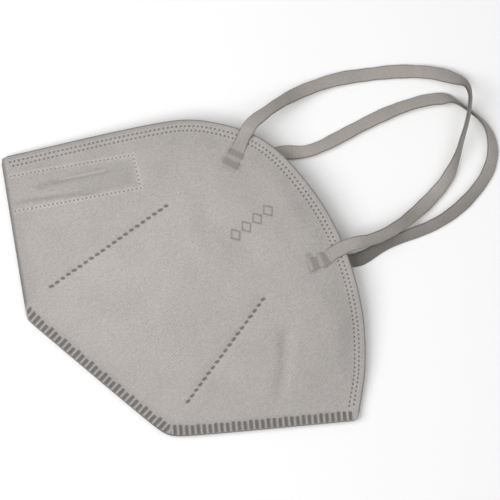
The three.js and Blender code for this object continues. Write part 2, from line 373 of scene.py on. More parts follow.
def from_hem_dot(x, y):
    """Distance to the nearest dot of the hem's two rows, whose dots alternate."""
    face, along = from_face_edge(x, y)
    near = np.full(np.shape(face), 1e3)
    for row, inset in enumerate(HEM_LINES):
        step = (along / HEM_PITCH + 0.5 * row) % 1 - 0.5
        near = np.minimum(near, np.hypot(step * HEM_PITCH, face - inset))
    return near


def from_pocket_dot(x, y):
    """Distance to the nearest dot of the pocket's outline."""
    near = np.full(np.shape(x), 1e3)
    for a, b in pairs(POCKET):
        along, across, length = along_segment(x, y, a, b)
        count = round(length / POCKET_PITCH)
        pitch = length / count
        nearest = np.clip(np.round(along / pitch), 0, count) * pitch
        near = np.minimum(near, np.hypot(along - nearest, across))
    return near


# each kind of mark gives pairs: how deep it is in mm, and how darkly it is pressed, from 0 to 1
def hem_marks(x, y):
    face, along = from_face_edge(x, y)
    inside = smoothstep((along - 0.4) / 0.2) * smoothstep((EDGE_ALONG[-1] - 2.0 - along) / 0.3)
    dots = dimple(from_hem_dot(x, y), DOT_RADIUS) * inside
    groove = HEM_GROOVE * np.exp(-((face - sum(HEM_LINES) / 2) / 1.3) ** 2)
    yield dots * DOT_DEPTH + groove * inside, dots


def pocket_marks(x, y):
    dots = dimple(from_pocket_dot(x, y), POCKET_DOT)
    groove = POCKET_GROOVE * np.exp(-(from_lines(x, y, POCKET) / 0.9) ** 2)
    yield dots * POCKET_DEPTH + groove, 0.6 * dots


def rib_marks(x, y):
    for a, b, count in RIBS:
        along, across, length = along_segment(x, y, a, b)
        pitch = length / (count - 1)
        k = np.clip(np.round(along / pitch), 0, count - 1)
        step = along - k * pitch
        turn = math.radians(DASH_LEAN) + 0.14 * np.sin(k * 2.4)
        u = step * np.cos(turn) + across * np.sin(turn)
        v = across * np.cos(turn) - step * np.sin(turn)
        size = 1 + 0.07 * np.sin(k * 1.7 + 1)
        reach = (np.abs(u / (DASH_SIZE[0] * size)) ** 3 + np.abs(v / DASH_SIZE[1]) ** 3) ** (1 / 3)
        mark = plateau(reach, 0.66, 0.6)
        off = np.hypot(across, beyond(along, length))
        yield mark * DASH_DEPTH + RIB_GROOVE * np.exp(-(off / 1.5) ** 2), 0.93 * mark


SEAM_CORNER = (FRONT_SEAM["start"] - CHIN_SEAM["start"]) / (CHIN_SEAM["slope"] - FRONT_SEAM["slope"])
# each seam: its line, the other's, x of the first and last bar, and the bars' lean, unevenness and short first
SEAM_BARS = [(FRONT_SEAM, CHIN_SEAM, 39.6, SEAM_CORNER - 0.5, 0.05, 0.35, 1.3),
             (CHIN_SEAM, FRONT_SEAM, SEAM_CORNER + 0.7, 159.3, 0.0, 0.15, 0.0)]


def seam_marks(x, y):
    front = from_front_edge(x, y)
    for line, other, first, last, lean, uneven, first_short in SEAM_BARS:
        along, _, length = along_segment(x, y, (first, line_at(line, first)), (last, line_at(line, last)))
        count = round(length / BAR_PITCH)
        pitch = length / count
        shifted = along - lean * np.maximum(front, 0)
        k = np.clip(np.round(shifted / pitch), 0, count)
        half = (BAR_LENGTH - uneven * (1 + np.sin(k * 2.1)) - first_short * (k == 0)) / 2
        past_side = np.maximum(np.abs(shifted - k * pitch) - BAR_WIDTH / 2 + BAR_CORNER, 0)
        past_end = np.maximum(np.abs(front - BAR_START - half) - half + BAR_CORNER, 0)
        mark = dimple(np.hypot(past_side, past_end), BAR_CORNER, 0.18)
        mark = mark * (along > -pitch / 2) * (along < length + pitch / 2)
        mark = mark * plateau(from_line(line, x, y) - from_line(other, x, y), -0.5, 0.4)
        yield mark * BAR_DEPTH, mark


# each weld of a loop end: crease x and y of its middle, a point ahead, half its size along and across the band
TAB_WELDS = {1: [((67.7, 51.8), (67.3, 54.0), (1.05, 3.6)), ((68.2, 48.2), (67.8, 50.4), (1.3, 4.1)),
                 ((115.9, 39.1), (117.0, 41.4), (1.05, 3.6)), ((113.1, 35.9), (114.6, 37.9), (1.3, 4.1))],
             -1: [((72.6, 52.3), (73.9, 54.0), (1.05, 3.6)), ((70.2, 49.3), (71.5, 50.9), (1.3, 4.1)),
                  ((118.8, 40.4), (120.6, 41.7), (1.05, 3.6)), ((115.7, 38.1), (117.5, 39.4), (1.3, 4.1))]}


def tab_marks(x, y, side):
    """The ribbed welds that hold the ends of the loop, which are wider than the band."""
    for along, across, size in tab_places(x, y, side):
        inside = plateau(np.abs(along), size[0] - 0.4, 0.8) * plateau(np.abs(across), size[1] - 0.6, 0.9)
        ribs = 0.5 + 0.5 * np.cos(2 * math.pi * across / WELD_PITCH)
        yield inside * (0.08 + 0.1 * ribs), inside * (0.24 + 0.14 * ribs)


EMBLEM_CENTRE = (87.0, 35.0)
EMBLEM_STEP = 4.9
EMBLEM_SIZE = 1.9
EMBLEM_LINE = 0.3
EMBLEM_DEPTH = 0.14
EMBLEM_HALF = (4.0, 8.0)     # half the size of the pressed area
EMBLEM_LEAN = (0.957, 0.29)


def emblem_marks(x, y):
    """A plain row of four open diamonds, pressed into the cover."""
    u, v = x - EMBLEM_CENTRE[0], y - EMBLEM_CENTRE[1]
    along = v * EMBLEM_LEAN[0] + u * EMBLEM_LEAN[1]
    across = u * EMBLEM_LEAN[0] - v * EMBLEM_LEAN[1]
    for k in range(4):
        from_middle = np.abs(along - (k - 1.5) * EMBLEM_STEP)
        ring = np.abs(from_middle + np.abs(across) * 0.8 - EMBLEM_SIZE) / math.hypot(1, 0.8)
        line = dimple(ring, EMBLEM_LINE, 0.2)
        yield line * EMBLEM_DEPTH, line * 0.6


def pocket_line():
    """The middle line of the nose pocket, from the fold to its closed end."""
    first, second, third, last = np.array(POCKET)
    return (first + last) / 2, (second + third) / 2


CLIP_RIDGE = 0.36
# slack valleys of the cover beside the nose clip: along and across the pocket's middle line, half width, depth
POCKET_VALLEYS = [((12.0, 1.0), (33.0, 2.6), 1.5, 0.42), ((-1.0, -3.3), (29.0, -5.0), 0.8, 0.34)]


def pocket_valleys(along, across):
    """How far a point of the pocket is inside each valley, from 0 to 1, with the valley's depth."""
    for a, b, width, depth in POCKET_VALLEYS:
        u, v, span = along_segment(along, across, a, b)
        yield np.exp(-(np.hypot(v, beyond(u, span) / 3) / width) ** 2), depth


def clip_ridge(x, y):
    """The nose clip inside the pocket shows as a soft raised strip between two slack valleys."""
    along, across, length = along_segment(x, y, *pocket_line())
    inside = smoothstep((along + 1) / 3) * smoothstep((length - 2.5 - along) / 2)
    ridge = CLIP_RIDGE * inside * plateau(np.abs(across + 1.0), 1.9, 1.4)
    for valley, depth in pocket_valleys(along, across):
        ridge = ridge - depth * valley
    return ridge * smoothstep((from_front_edge(x, y) - 1) / 3)


# middle of the painted light on the cover
PAINTED_LIGHT_MIDDLE = (64.0, -6.0)


def rings_and_painted_light(x, y):
    """Lighter rings round the welding dots, and painted light over the cover's middle."""
    hem_ring = 0.45 * np.exp(-((from_hem_dot(x, y) - 0.66) / 0.18) ** 2)
    ring = np.maximum(hem_ring, 1.3 * np.exp(-((from_pocket_dot(x, y) - 0.62) / 0.22) ** 2))
    # painted light: the cover is made lighter round its middle
    painted_light = 0.22 * plateau(np.hypot(x - PAINTED_LIGHT_MIDDLE[0], y - PAINTED_LIGHT_MIDDLE[1]), 6, 40)
    return np.maximum(ring, painted_light)


def pocket_tone_and_painted_shade(x, y):
    """The cover is slightly darker over the pocket, most towards its closed end, with painted shade along the
    slack valleys beside the clip.
    """
    along, across, length = along_segment(x, y, *pocket_line())
    inside = plateau(np.abs(across), 3.4, 3.0) * plateau(along, length - 1.5, 2.4)
    shade = inside * (0.02 + 0.13 * smoothstep((along - 8) / 22))
    # painted shade in the slack valleys
    for painted_shade_valley, _ in pocket_valleys(along, across):
        shade = np.maximum(shade, 0.3 * painted_shade_valley * smoothstep(from_front_edge(x, y) / 3) * (along < length - 1))
    return shade


# painted shade at each edge, with the amount, the reach and the fade: a thin darker line at it, standing in
# for the shade of its rounded edge, and a soft painted shade that fades in from it
FOLD_PAINTED_SHADE = [(0.8, 0.4, 1.8), (0.16, 0, 11)]
SEAM_PAINTED_SHADE = [(0.8, 0.2, 0.6), (0.15, 3.9, 1.6)]
FACE_PAINTED_SHADE = [(0.74, 0.2, 0.4), (0.1, 3, 26)]
NOSE_PAINTED_SHADE = [(0.28, 0.6, 1.7)]      # the nose end of the face edge


def painted_edge_shade(x, y):
    """Painted shade: thin darker lines along the rounded folds and cut edges, and a soft painted shade that
    fades in from them.
    """
    face, along = from_face_edge(x, y)
    on_fold = plateau(x, 37, 3)
    fold = strongest(from_front_edge(x, y), FOLD_PAINTED_SHADE) * on_fold
    seam = strongest(from_seams(x, y), SEAM_PAINTED_SHADE) * (1 - on_fold)
    nose = strongest(face, NOSE_PAINTED_SHADE) * plateau(along, 66, 26)
    return np.max([fold, seam, nose, strongest(face, FACE_PAINTED_SHADE)], axis=0)


def relief(x, y, side):
    """Depth of the pressed detail in mm, how much darker the cover is at its welds and with painted shade at
    its edges and in the pocket's valleys, and how much lighter at the rings round the dots and with painted
    light over its middle, from 0 to 1.
    """
    marks = [*tab_marks(x, y, side), *(emblem_marks(x, y) if side > 0 else [])]
    for kind in (hem_marks, pocket_marks, rib_marks, seam_marks):
        marks += kind(x, y)
    depth, welds_and_painted_shade = (np.max(values, axis=0) for values in zip(*marks))
    # the painted shade at the edges and in the pocket's valleys joins the darker welds
    welds_and_painted_shade = np.max([welds_and_painted_shade, painted_edge_shade(x, y), pocket_tone_and_painted_shade(x, y)], axis=0)
    rim = 0.16 * plateau(from_face_edge(x, y)[0], 0, 0.35)
    return depth + rim - clip_ridge(x, y), welds_and_painted_shade, rings_and_painted_light(x, y)


def detailed(x, y, side):
    """Where the mesh has to be fine."""
    face = from_face_edge(x, y)[0]
    front = from_front_edge(x, y)
    fine = (face > 1.3) & (face < 5.0)
    fine |= (front > 0.2) & (front < BAR_START + BAR_LENGTH + 0.6) & (x > 38.5)
    lines = [(a, b, 1.25, 1.4) for a, b, _ in RIBS] + [(a, b, 0.9, 0.9) for a, b in pairs(POCKET)]
    for a, b, beside, past in lines:
        along, across, length = along_segment(x, y, a, b)
        fine |= (np.abs(across) < beside) & (beyond(along, length) < past)
    for along, across, size in tab_places(x, y, side):
        fine |= (np.abs(along) < size[0] + 0.5) & (np.abs(across) < size[1] + 0.5)
    if side > 0:
        fine |= (np.abs(x - EMBLEM_CENTRE[0]) < 5.8) & (np.abs(y - EMBLEM_CENTRE[1]) < 10.5)
    return fine


# -------------------- the grid that every ply shares
COLUMN_STEP = 0.74
PLY_COLUMN_STEP = 2      # the inner plies use every second column and every third row
PLY_ROW_STEP = 3
INSIDE_STEP = 4          # and the cover's inner face every fourth of both
FRONT_BAND = 5.0
FACE_BAND = 6.2
MIDDLE_ROWS = 122
CORNER_BULGE = 0.7       # the nose and chin corners are rounded outwards by this much
CORNER_FADE = 1.8
REFINE = 3


def row_table():
    """Each row's offset in the front band, share of the middle and offset in the face band."""
    turn = np.radians(np.arange(0, 91, 10))
    front = np.concatenate([3.1 * (1 - np.cos(turn)), [3.7, 4.35, FRONT_BAND]])
    middle = np.linspace(0, 1, MIDDLE_ROWS + 1)[1:]
    face = FACE_BAND - np.concatenate([np.arange(5.6, 0.9, -0.6), [0.85, 0.5, 0.3, 0.14, 0.05, 0]])
    rows = [(f, 0, 0) for f in front] + [(FRONT_BAND, m, 0) for m in middle]
    return np.array(rows + [(FRONT_BAND, 1, f) for f in face])


COLUMNS = np.linspace(0, CREASE_LENGTH, round(CREASE_LENGTH / COLUMN_STEP) + 1)
ROWS = row_table()


def grid_point(i, j, hem_inset=0.0):
    """Crease x and y of a grid position, whose i and j may lie between the coarse columns and rows."""
    x = np.interp(i, np.arange(len(COLUMNS)), COLUMNS)
    from_end = np.minimum(x, CREASE_LENGTH - x)
    front_part, share, face_part = (np.interp(j, np.arange(len(ROWS)), ROWS[:, k]) for k in range(3))
    low = front_edge(x)
    high = face_edge(x) - hem_inset * np.minimum(1, from_end / 12)
    height = high - low
    squeeze = np.minimum(1, height / 20)
    middle = height - squeeze * (FRONT_BAND + FACE_BAND)
    y = low + squeeze * (front_part + face_part) + share * middle
    level = (y - low) / height
    bulge = CORNER_BULGE * np.sin(math.pi * level) ** 2 * np.exp(-from_end / CORNER_FADE)
    return x - bulge * np.sign(CREASE_LENGTH / 2 - x), y


def surface_points(i, j, side, depth, swell, hem_inset=0.0):
    """Points at a depth under the smooth outer face, measured along its normal, in crease mm."""
    step = 0.04

    def at(di, dj):
        x, y = grid_point(i + di, j + dj, hem_inset)
        return np.stack([x, y, outer_height(x, y, side, swell)], -1)

    here = at(0, 0)
    edge_i = np.where(i + step > len(COLUMNS) - 1, -step, step)
    edge_j = np.where(j + step > len(ROWS) - 1, -step, step)
    along = (at(edge_i, 0) - here) * np.sign(edge_i)[..., None]
    up = (at(0, edge_j) - here) * np.sign(edge_j)[..., None]
    normal = np.cross(along, up)
    normal /= np.maximum(np.linalg.norm(normal, axis=-1, keepdims=True), 1e-12)
    return here - side * normal * depth[..., None]


def new_object(name, data):
    obj = bpy.data.objects.new(name, data)
    bpy.context.scene.collection.objects.link(obj)
    return obj


def new_mesh(name, points, faces):
    mesh = bpy.data.meshes.new(name)
    mesh.from_pydata(points, [], faces)
    return new_object(name, mesh)


def to_object(name, points, faces, uv, values=None):
    """A smooth mesh object from row-frame points, with a cloth map in mm and named point values."""
    obj = new_mesh(name, points.tolist(), faces)
    mesh = obj.data
    mesh.update()
    index = np.empty(len(mesh.loops), int)
    mesh.loops.foreach_get("vertex_index", index)
    mesh.uv_layers.new(name="cloth").data.foreach_set("uv", uv[index].astype(np.float32).ravel())
    for key, value in (values or {}).items():
        mesh.attributes.new(key, "FLOAT", "POINT").data.foreach_set("value", value.astype(np.float32))
    mesh.polygons.foreach_set("use_smooth", [True] * len(mesh.polygons))
    mesh.set_sharp_from_angle(angle=math.radians(66))
    return obj


def round_pairs(ring):
    """Each item with the next one, and the last with the first."""
    return zip(ring, ring[1:] + ring[:1])


def rim_of(columns, rows):
    """The grid positions round the rim."""
    rim = [(c, rows[0]) for c in columns] + [(columns[-1], r) for r in rows[1:]]
    return rim + [(c, rows[-1]) for c in columns[-2::-1]] + [(columns[0], r) for r in rows[-2:0:-1]]


def fine_steps(p, q):
    """The fine grid positions from one coarse position to another in the same row or column."""
    di, dj = (q[0] - p[0]) * REFINE, (q[1] - p[1]) * REFINE
    count = max(abs(di), abs(dj))
    return [(p[0] * REFINE + di * k // count, p[1] * REFINE + dj * k // count) for k in range(count + 1)]


def refined_cells(fine):
    """Faces on the fine grid: a fine cell is split, and a coarse one next to it takes its extra corners."""
    used = set()
    cells = []
    for a, b in np.ndindex(fine.shape):
        if fine[a, b]:
            spots = [(a * REFINE + p, b * REFINE + q) for p, q in np.ndindex(REFINE, REFINE)]
            parts = [[(p, q), (p + 1, q), (p + 1, q + 1), (p, q + 1)] for p, q in spots]
            used.update(*parts)
            cells += parts
        else:
            corners = [(a, b), (a + 1, b), (a + 1, b + 1), (a, b + 1)]
            used.update((p * REFINE, q * REFINE) for p, q in corners)
            cells.append([spot for p, q in round_pairs(corners) for spot in fine_steps(p, q)[:-1]])
    return [[spot for spot in cell if spot in used] for cell in cells]


def column_indices(step):
    """Every step-th column, with the last."""
    return sorted(set(range(0, len(COLUMNS), step)) | {len(COLUMNS) - 1})


def row_indices(step):
    """Every step-th row, with more at the folds and every one where the plies thin towards the hem."""
    last = len(ROWS) - 1
    middle = set(range(13, last - 28, step)) | set(range(last - 28, last - 14))
    return sorted(set(range(0, 13, 2)) | middle | set(range(last, last - 14, -2)))


def cover(name, side):
    """One half of the outer cover: a finely divided outer face with its welds, an inner face and a rim."""
    middles = np.meshgrid(np.arange(len(COLUMNS) - 1) + 0.5, np.arange(len(ROWS) - 1) + 0.5, indexing="ij")
    cells = refined_cells(detailed(*grid_point(*middles), side))
    index = {}
    faces = [[index.setdefault(p, len(index)) for p in cell] for cell in cells]
    i, j = np.array(list(index), float).T / REFINE
    x, y = grid_point(i, j)
    depth, welds_and_painted_shade, paler_rings_and_painted_light = relief(x, y, side)
    outer = surface_points(i, j, side, depth, swell_at(i, j))
    # the inner face is coarser, and a rim joins the two
    cols, rows = column_indices(INSIDE_STEP), row_indices(INSIDE_STEP)
    i, j, (m, n) = grid_positions(INSIDE_STEP, INSIDE_STEP)
    xi, yi = grid_point(i, j)
    inner = surface_points(i, j, side, ply_depth(xi, yi, COVER_DEPTH, side), swell_at(i, j))
    base = len(index)
    for a, b in np.ndindex(m - 1, n - 1):
        k = base + a * n + b
        faces.append([k, k + 1, k + n + 1, k + n])
    inside_index = {(c, r): base + a * n + b for a, c in enumerate(cols) for b, r in enumerate(rows)}
    for p, q in round_pairs(rim_of(cols, rows)):
        run = [index[spot] for spot in fine_steps(p, q) if spot in index]
        faces.append(run[::-1] + [inside_index[p], inside_index[q]])
    if side < 0:
        faces = [f[::-1] for f in faces]
    uv = np.concatenate([np.stack([x, y], 1), np.stack([xi, yi], 1)])
    plain = np.zeros(len(xi))
    # the pressed values hold the darker welds with the painted shade at the edges and in the pocket's valleys;
    # the second values hold the lighter rings round the dots with the painted light over the middle
    values = {"pressed": np.concatenate([welds_and_painted_shade, plain]), "paler_rings_and_painted_light": np.concatenate([paler_rings_and_painted_light, plain])}
    return to_object(name, place(*np.concatenate([outer, inner]).T), faces, uv, values)


def closed_sheet(name, side, shape, outer, inner, uv):
    """A thin closed piece between an outer and an inner grid of crease points, with walls round the rim."""
    m, n = shape
    total = m * n
    faces = []
    for a, b in np.ndindex(m - 1, n - 1):
        k = a * n + b
        faces.append([k, k + n, k + n + 1, k + 1])
        faces.append([total + k, total + k + 1, total + k + n + 1, total + k + n])
    ring = [a * n + b for a, b in rim_of(range(m), range(n))]
    faces += [[q, p, total + p, total + q] for p, q in round_pairs(ring)]
    if side < 0:
        faces = [f[::-1] for f in faces]
    return to_object(name, place(*np.concatenate([outer, inner]).T), faces, np.tile(uv, (2, 1)))


def grid_positions(column_step, row_step):
    """Grid positions of a coarser sheet, column by column, and how many columns and rows it has."""
    columns, rows = column_indices(column_step), row_indices(row_step)
    i, j = np.meshgrid(columns, rows, indexing="ij")
    return i.ravel().astype(float), j.ravel().astype(float), (len(columns), len(rows))


def inner_ply(name, side, depths, hem_inset):
    i, j, shape = grid_positions(PLY_COLUMN_STEP, PLY_ROW_STEP)
    x, y = grid_point(i, j, hem_inset)
    swell = swell_at(i, j)
    sheets = [surface_points(i, j, side, ply_depth(x, y, d, side), swell, hem_inset) for d in depths]
    return closed_sheet(name, side, shape, *sheets, np.stack([x, y], 1))


SWELL_STEP = 3
SWELL_COLUMNS = np.arange(0, len(COLUMNS), SWELL_STEP)
SWELL_ROWS = np.arange(0, len(ROWS), SWELL_STEP)
CLOTH_UNIT = 10.0        # the cloth is solved with this many mm to a unit
CLOTH_FRAMES = 22
CLOTH_CAP = 1.3
HELD_WITHIN = 0.4        # the cloth is held this close to a weld
FULL_SWELL = 0.93        # this share of the cloth lies below the height that counts as 1
CLOTH_SETTINGS = {"vertex_group_mass": "held", "quality": 6, "mass": 0.3, "tension_stiffness": 18,
                  "compression_stiffness": 18, "shear_stiffness": 9, "bending_stiffness": 1.2,
                  "shrink_min": -0.006, "use_pressure": True, "uniform_pressure_force": 0.5}


def make_swell():
    """How far the cover swells at each point of the swell grid: cloth held at the welds and pushed out."""
    ii, jj = np.meshgrid(SWELL_COLUMNS, SWELL_ROWS, indexing="ij")
    x, y = grid_point(ii.astype(float), jj.astype(float))
    m, n = x.shape
    k = np.arange(m * n).reshape(m, n)
    quads = np.stack([k[:-1, :-1], k[1:, :-1], k[1:, 1:], k[:-1, 1:]], -1).reshape(-1, 4)
    points = np.stack([x.ravel(), y.ravel(), np.zeros(m * n)], 1) / CLOTH_UNIT
    cloth = new_mesh("cloth", points.tolist(), quads.tolist())
    held = cloth.vertex_groups.new(name="held")
    held.add(np.nonzero(pinned_distance(x, y).ravel() <= HELD_WITHIN)[0].tolist(), 1.0, "REPLACE")
    modifier = cloth.modifiers.new("cloth", "CLOTH")
    for key, value in CLOTH_SETTINGS.items():
        setattr(modifier.settings, key, value)
    modifier.settings.effector_weights.gravity = 0
    modifier.collision_settings.use_collision = False
    modifier.point_cache.frame_start = 1
    modifier.point_cache.frame_end = CLOTH_FRAMES
    for step in range(1, CLOTH_FRAMES + 1):
        bpy.context.scene.frame_set(step)
    solved = cloth.evaluated_get(bpy.context.evaluated_depsgraph_get())
    height = np.array([v.co.z for v in solved.data.vertices]) * CLOTH_UNIT
    bpy.context.scene.frame_set(1)
    bpy.data.meshes.remove(cloth.data)
    return np.clip(height.reshape(m, n) / np.quantile(height, FULL_SWELL), 0, CLOTH_CAP)


SWELL = make_swell()


def cubic_reading(position, count):
    """The four grid lines round a position, each with its weight."""
    u = np.clip(np.asarray(position, float) / SWELL_STEP, 0, count - 1)
    k = np.clip(np.floor(u).astype(int), 0, count - 2)
    t = u - k
    weights = [(-t ** 3 + 2 * t ** 2 - t) / 2, (3 * t ** 3 - 5 * t ** 2 + 2) / 2,
               (-3 * t ** 3 + 4 * t ** 2 + t) / 2, (t ** 3 - t ** 2) / 2]
    return [(np.clip(k + n - 1, 0, count - 1), weight) for n, weight in enumerate(weights)]


def swell_at(i, j):
    """Smooth reading of the swell grid at a grid position."""
    total = 0
    for p, first in cubic_reading(i, len(SWELL_COLUMNS)):
        for q, second in cubic_reading(j, len(SWELL_ROWS)):
            total = total + first * second * SWELL[p, q]
    return total


# -------------------- camera, light and floor
PICTURE_WIDTH = 182.6
PICTURE_CENTRE = (92.27, 26.57)
PICTURE_TURN = 36.085
LENS = 150
SENSOR = 36
MID_HEIGHT = 6.0
FLOOR_HALF = 2.5         # half the floor's side, in metres


def make_camera():
    data = bpy.data.cameras.new("camera")
    data.lens = LENS
    data.sensor_width = SENSOR
    data.clip_end = 20
    camera = new_object("camera", data)
    height = PICTURE_WIDTH * LENS / SENSOR + MID_HEIGHT
    camera.location = place(PICTURE_CENTRE[0], PICTURE_CENTRE[1], height)
    camera.rotation_euler = (0, 0, math.radians(PICTURE_TURN))
    bpy.context.scene.camera = camera


def area_light(name, size, power, direction, distance):
    """A square soft light that looks at the middle of the mask from a direction."""
    data = bpy.data.lights.new(name, "AREA")
    data.shape = "SQUARE"
    data.size = size
    data.energy = power
    light = new_object(name, data)
    v = unit(np.array(direction, float))
    light.location = v * distance
    light.rotation_euler = (math.acos(v[2]), 0, math.atan2(v[1], v[0]) + math.pi / 2)


def make_studio():
    world = bpy.data.worlds.new("studio")
    world.use_nodes = True
    background = world.node_tree.nodes["Background"].inputs
    background["Color"].default_value = (1, 1, 1, 1)
    background["Strength"].default_value = 0.28
    bpy.context.scene.world = world
    bpy.context.scene.view_settings.view_transform = "Standard"
    area_light("key", 0.6, 4.2, (-0.5, -0.45, 1.0), 0.75)
    area_light("overhead", 1.3, 4.6, (0.2, 0.12, 1), 1.0)
    corners = [(-1, -1), (1, -1), (1, 1), (-1, 1)]
    floor = new_mesh("floor", [(x * FLOOR_HALF, y * FLOOR_HALF, 0) for x, y in corners], [(0, 1, 2, 3)])
    floor.data.materials.append(plain_material("floor_paper", (0.94, 0.94, 0.94), 0.9))


# -------------------- materials
class Nodes:
    """A short way to write a node tree."""

    def __init__(self, name):
        self.material = bpy.data.materials.new(name)
        self.material.use_nodes = True
        self.tree = self.material.node_tree
        self.tree.nodes.clear()

    def add(self, kind, inputs=None, **settings):
        node = self.tree.nodes.new(kind)
        for key, value in settings.items():
            setattr(node, key, value)
        for key, value in (inputs or {}).items():
            if isinstance(value, bpy.types.NodeSocket):
                self.tree.links.new(value, node.inputs[key])
            else:
                node.inputs[key].default_value = value
        return node

    def math(self, operation, a, b=0.0):
        return self.add("ShaderNodeMath", {0: a, 1: b}, operation=operation).outputs[0]

    def attribute(self, name):
        return self.add("ShaderNodeAttribute", attribute_name=name).outputs["Fac"]

    def cells(self, where, scale, randomness):
        """Distance to the nearest of a field of points."""
        inputs = {"Vector": where, "Scale": scale, "Randomness": randomness}
        return self.add("ShaderNodeTexVoronoi", inputs, feature="F1").outputs["Distance"]

    def wave(self, where, scale, distortion, detail_scale):
        inputs = {"Vector": where, "Scale": scale, "Distortion": distortion, "Detail": 2.0,
                  "Detail Scale": detail_scale}
        return self.add("ShaderNodeTexWave", inputs, bands_direction="X").outputs["Fac"]

    def noise(self, where, scale, detail=3.0, roughness=0.55):
        inputs = {"Vector": where, "Scale": scale, "Detail": detail, "Roughness": roughness}
        return self.add("ShaderNodeTexNoise", inputs).outputs["Fac"]

    def map_range(self, value, low, high, to_low, to_high):
        return self.add("ShaderNodeMapRange", {0: value, 1: low, 2: high, 3: to_low, 4: to_high}).outputs[0]

    def vary(self, tone, *changes):
        """A tone times factors that each follow a value: value, low, high, factor at low, factor at high."""
        for change in changes:
            tone = self.math("MULTIPLY", tone, self.map_range(*change))
        return tone

    def shade(self, colour, factor):
        """A colour multiplied by a grey factor."""
        grey = self.add("ShaderNodeCombineColor", {0: factor, 1: factor, 2: factor}).outputs[0]
        node = self.add("ShaderNodeMix", {0: 1.0, 6: colour, 7: grey}, data_type="RGBA", blend_type="MULTIPLY")
        return node.outputs[2]

    def mix_colour(self, factor, a, b):
        return self.add("ShaderNodeMix", {0: factor, 6: a, 7: b}, data_type="RGBA").outputs[2]

    def bump(self, height, distance, strength):
        inputs = {"Height": height, "Distance": distance, "Strength": strength}
        return self.add("ShaderNodeBump", inputs).outputs[0]

    def finish(self, **sockets):
        shader = self.add("ShaderNodeBsdfPrincipled", {k.replace("_", " "): v for k, v in sockets.items()})
        self.add("ShaderNodeOutputMaterial", {"Surface": shader.outputs[0]})
        return self.material


def plain_material(name, colour, roughness):
    n = Nodes(name)
    return n.finish(Base_Color=(*colour, 1), Roughness=roughness)


def cloth_map(n, scale=(1, 1, 1), turn=0.0):
    uv = n.add("ShaderNodeUVMap", uv_map="cloth").outputs[0]
    return n.add("ShaderNodeMapping", {"Vector": uv, "Scale": scale, "Rotation": (0, 0, turn)}).outputs[0]


LATTICE_TURNS = (9, 97)
LATTICE_SCALE = 0.37     # a wave of 0.85 mm
STITCH_SCALE = 0.36
COVER_GREY = (0.405, 0.381, 0.365, 1)
GREEN_GREY = (0.328, 0.316, 0.288, 1)
PINK_GREY = (0.35, 0.314, 0.297, 1)


def cover_material():
    n = Nodes("cover_fabric")
    flat = cloth_map(n)
    # darker welds, with the painted shade at the edges and in the pocket's valleys
    pressed = n.attribute("pressed")
    fibres = n.noise(cloth_map(n, (0.9, 2.4, 1), math.radians(35)), 1.0, 4, 0.7)
    crossed = n.noise(cloth_map(n, (0.9, 2.4, 1), math.radians(-40)), 1.0, 4, 0.7)
    bonds = n.cells(cloth_map(n, (1.05, 1.05, 1), math.radians(12)), 1.0, 0.35)
    mottle = n.noise(flat, 0.55, 3)
    broad = n.noise(flat, 0.055, 2)
    texture = n.math("ADD", fibres, crossed)
    tone = n.map_range(texture, 0.7, 1.3, 0.8, 1.19)
    for turn in LATTICE_TURNS:
        lines = n.wave(cloth_map(n, turn=math.radians(turn)), LATTICE_SCALE, 3.4, 1.5)
        tone = n.vary(tone, (lines, 0, 1, 0.955, 1.045))
    # lighter at the rings round the dots and with painted light over the middle, darker at the welds and with
    # painted shade at the edges and in the pocket's valleys
    tone = n.vary(tone, (bonds, 0.05, 0.5, 0.955, 1.02), (mottle, 0.3, 0.7, 0.965, 1.035),
                  (broad, 0.35, 0.65, 0.965, 1.03), (n.attribute("paler_rings_and_painted_light"), 0, 1, 1.0, 1.22),
                  (pressed, 0, 1, 1.0, 0.3))
    colour = n.shade(COVER_GREY, tone)
    height = n.math("ADD", texture, n.math("MULTIPLY", mottle, 0.8))
    height = n.math("ADD", height, n.math("MULTIPLY", bonds, 0.5))
    bump = n.bump(height, 0.00011, 0.8)
    rough = n.map_range(pressed, 0, 1, 0.88, 0.55)
    return n.finish(Base_Color=colour, Roughness=rough, Normal=bump, Sheen_Weight=0.1, Sheen_Roughness=0.5)


def band_material():
    n = Nodes("loop_elastic")
    stitch = n.wave(cloth_map(n), STITCH_SCALE, 1.6, 1.4)
    yarn = n.noise(cloth_map(n, (0.8, 3.0, 1)), 1.0, 4, 0.6)
    blotch = n.noise(cloth_map(n), 0.12, 3)
    tone = n.map_range(stitch, 0, 1, 0.93, 1.05)
    tone = n.vary(tone, (yarn, 0.3, 0.7, 0.88, 1.1), (blotch, 0.3, 0.7, 0.93, 1.05),
                  (n.attribute("edge"), 0, 1, 1.0, 0.5))
    # the shade values hold the painted light and shade along the loop and its darker welds
    tone = n.math("MULTIPLY", tone, n.attribute("shade"))
    warm = n.mix_colour(n.map_range(blotch, 0.35, 0.65, 0, 1), GREEN_GREY, PINK_GREY)
    height = n.math("ADD", n.math("MULTIPLY", stitch, 0.22), yarn)
    bump = n.bump(height, 0.0001, 0.7)
    return n.finish(Base_Color=n.shade(warm, tone), Roughness=0.85, Normal=bump, Sheen_Weight=0.15)


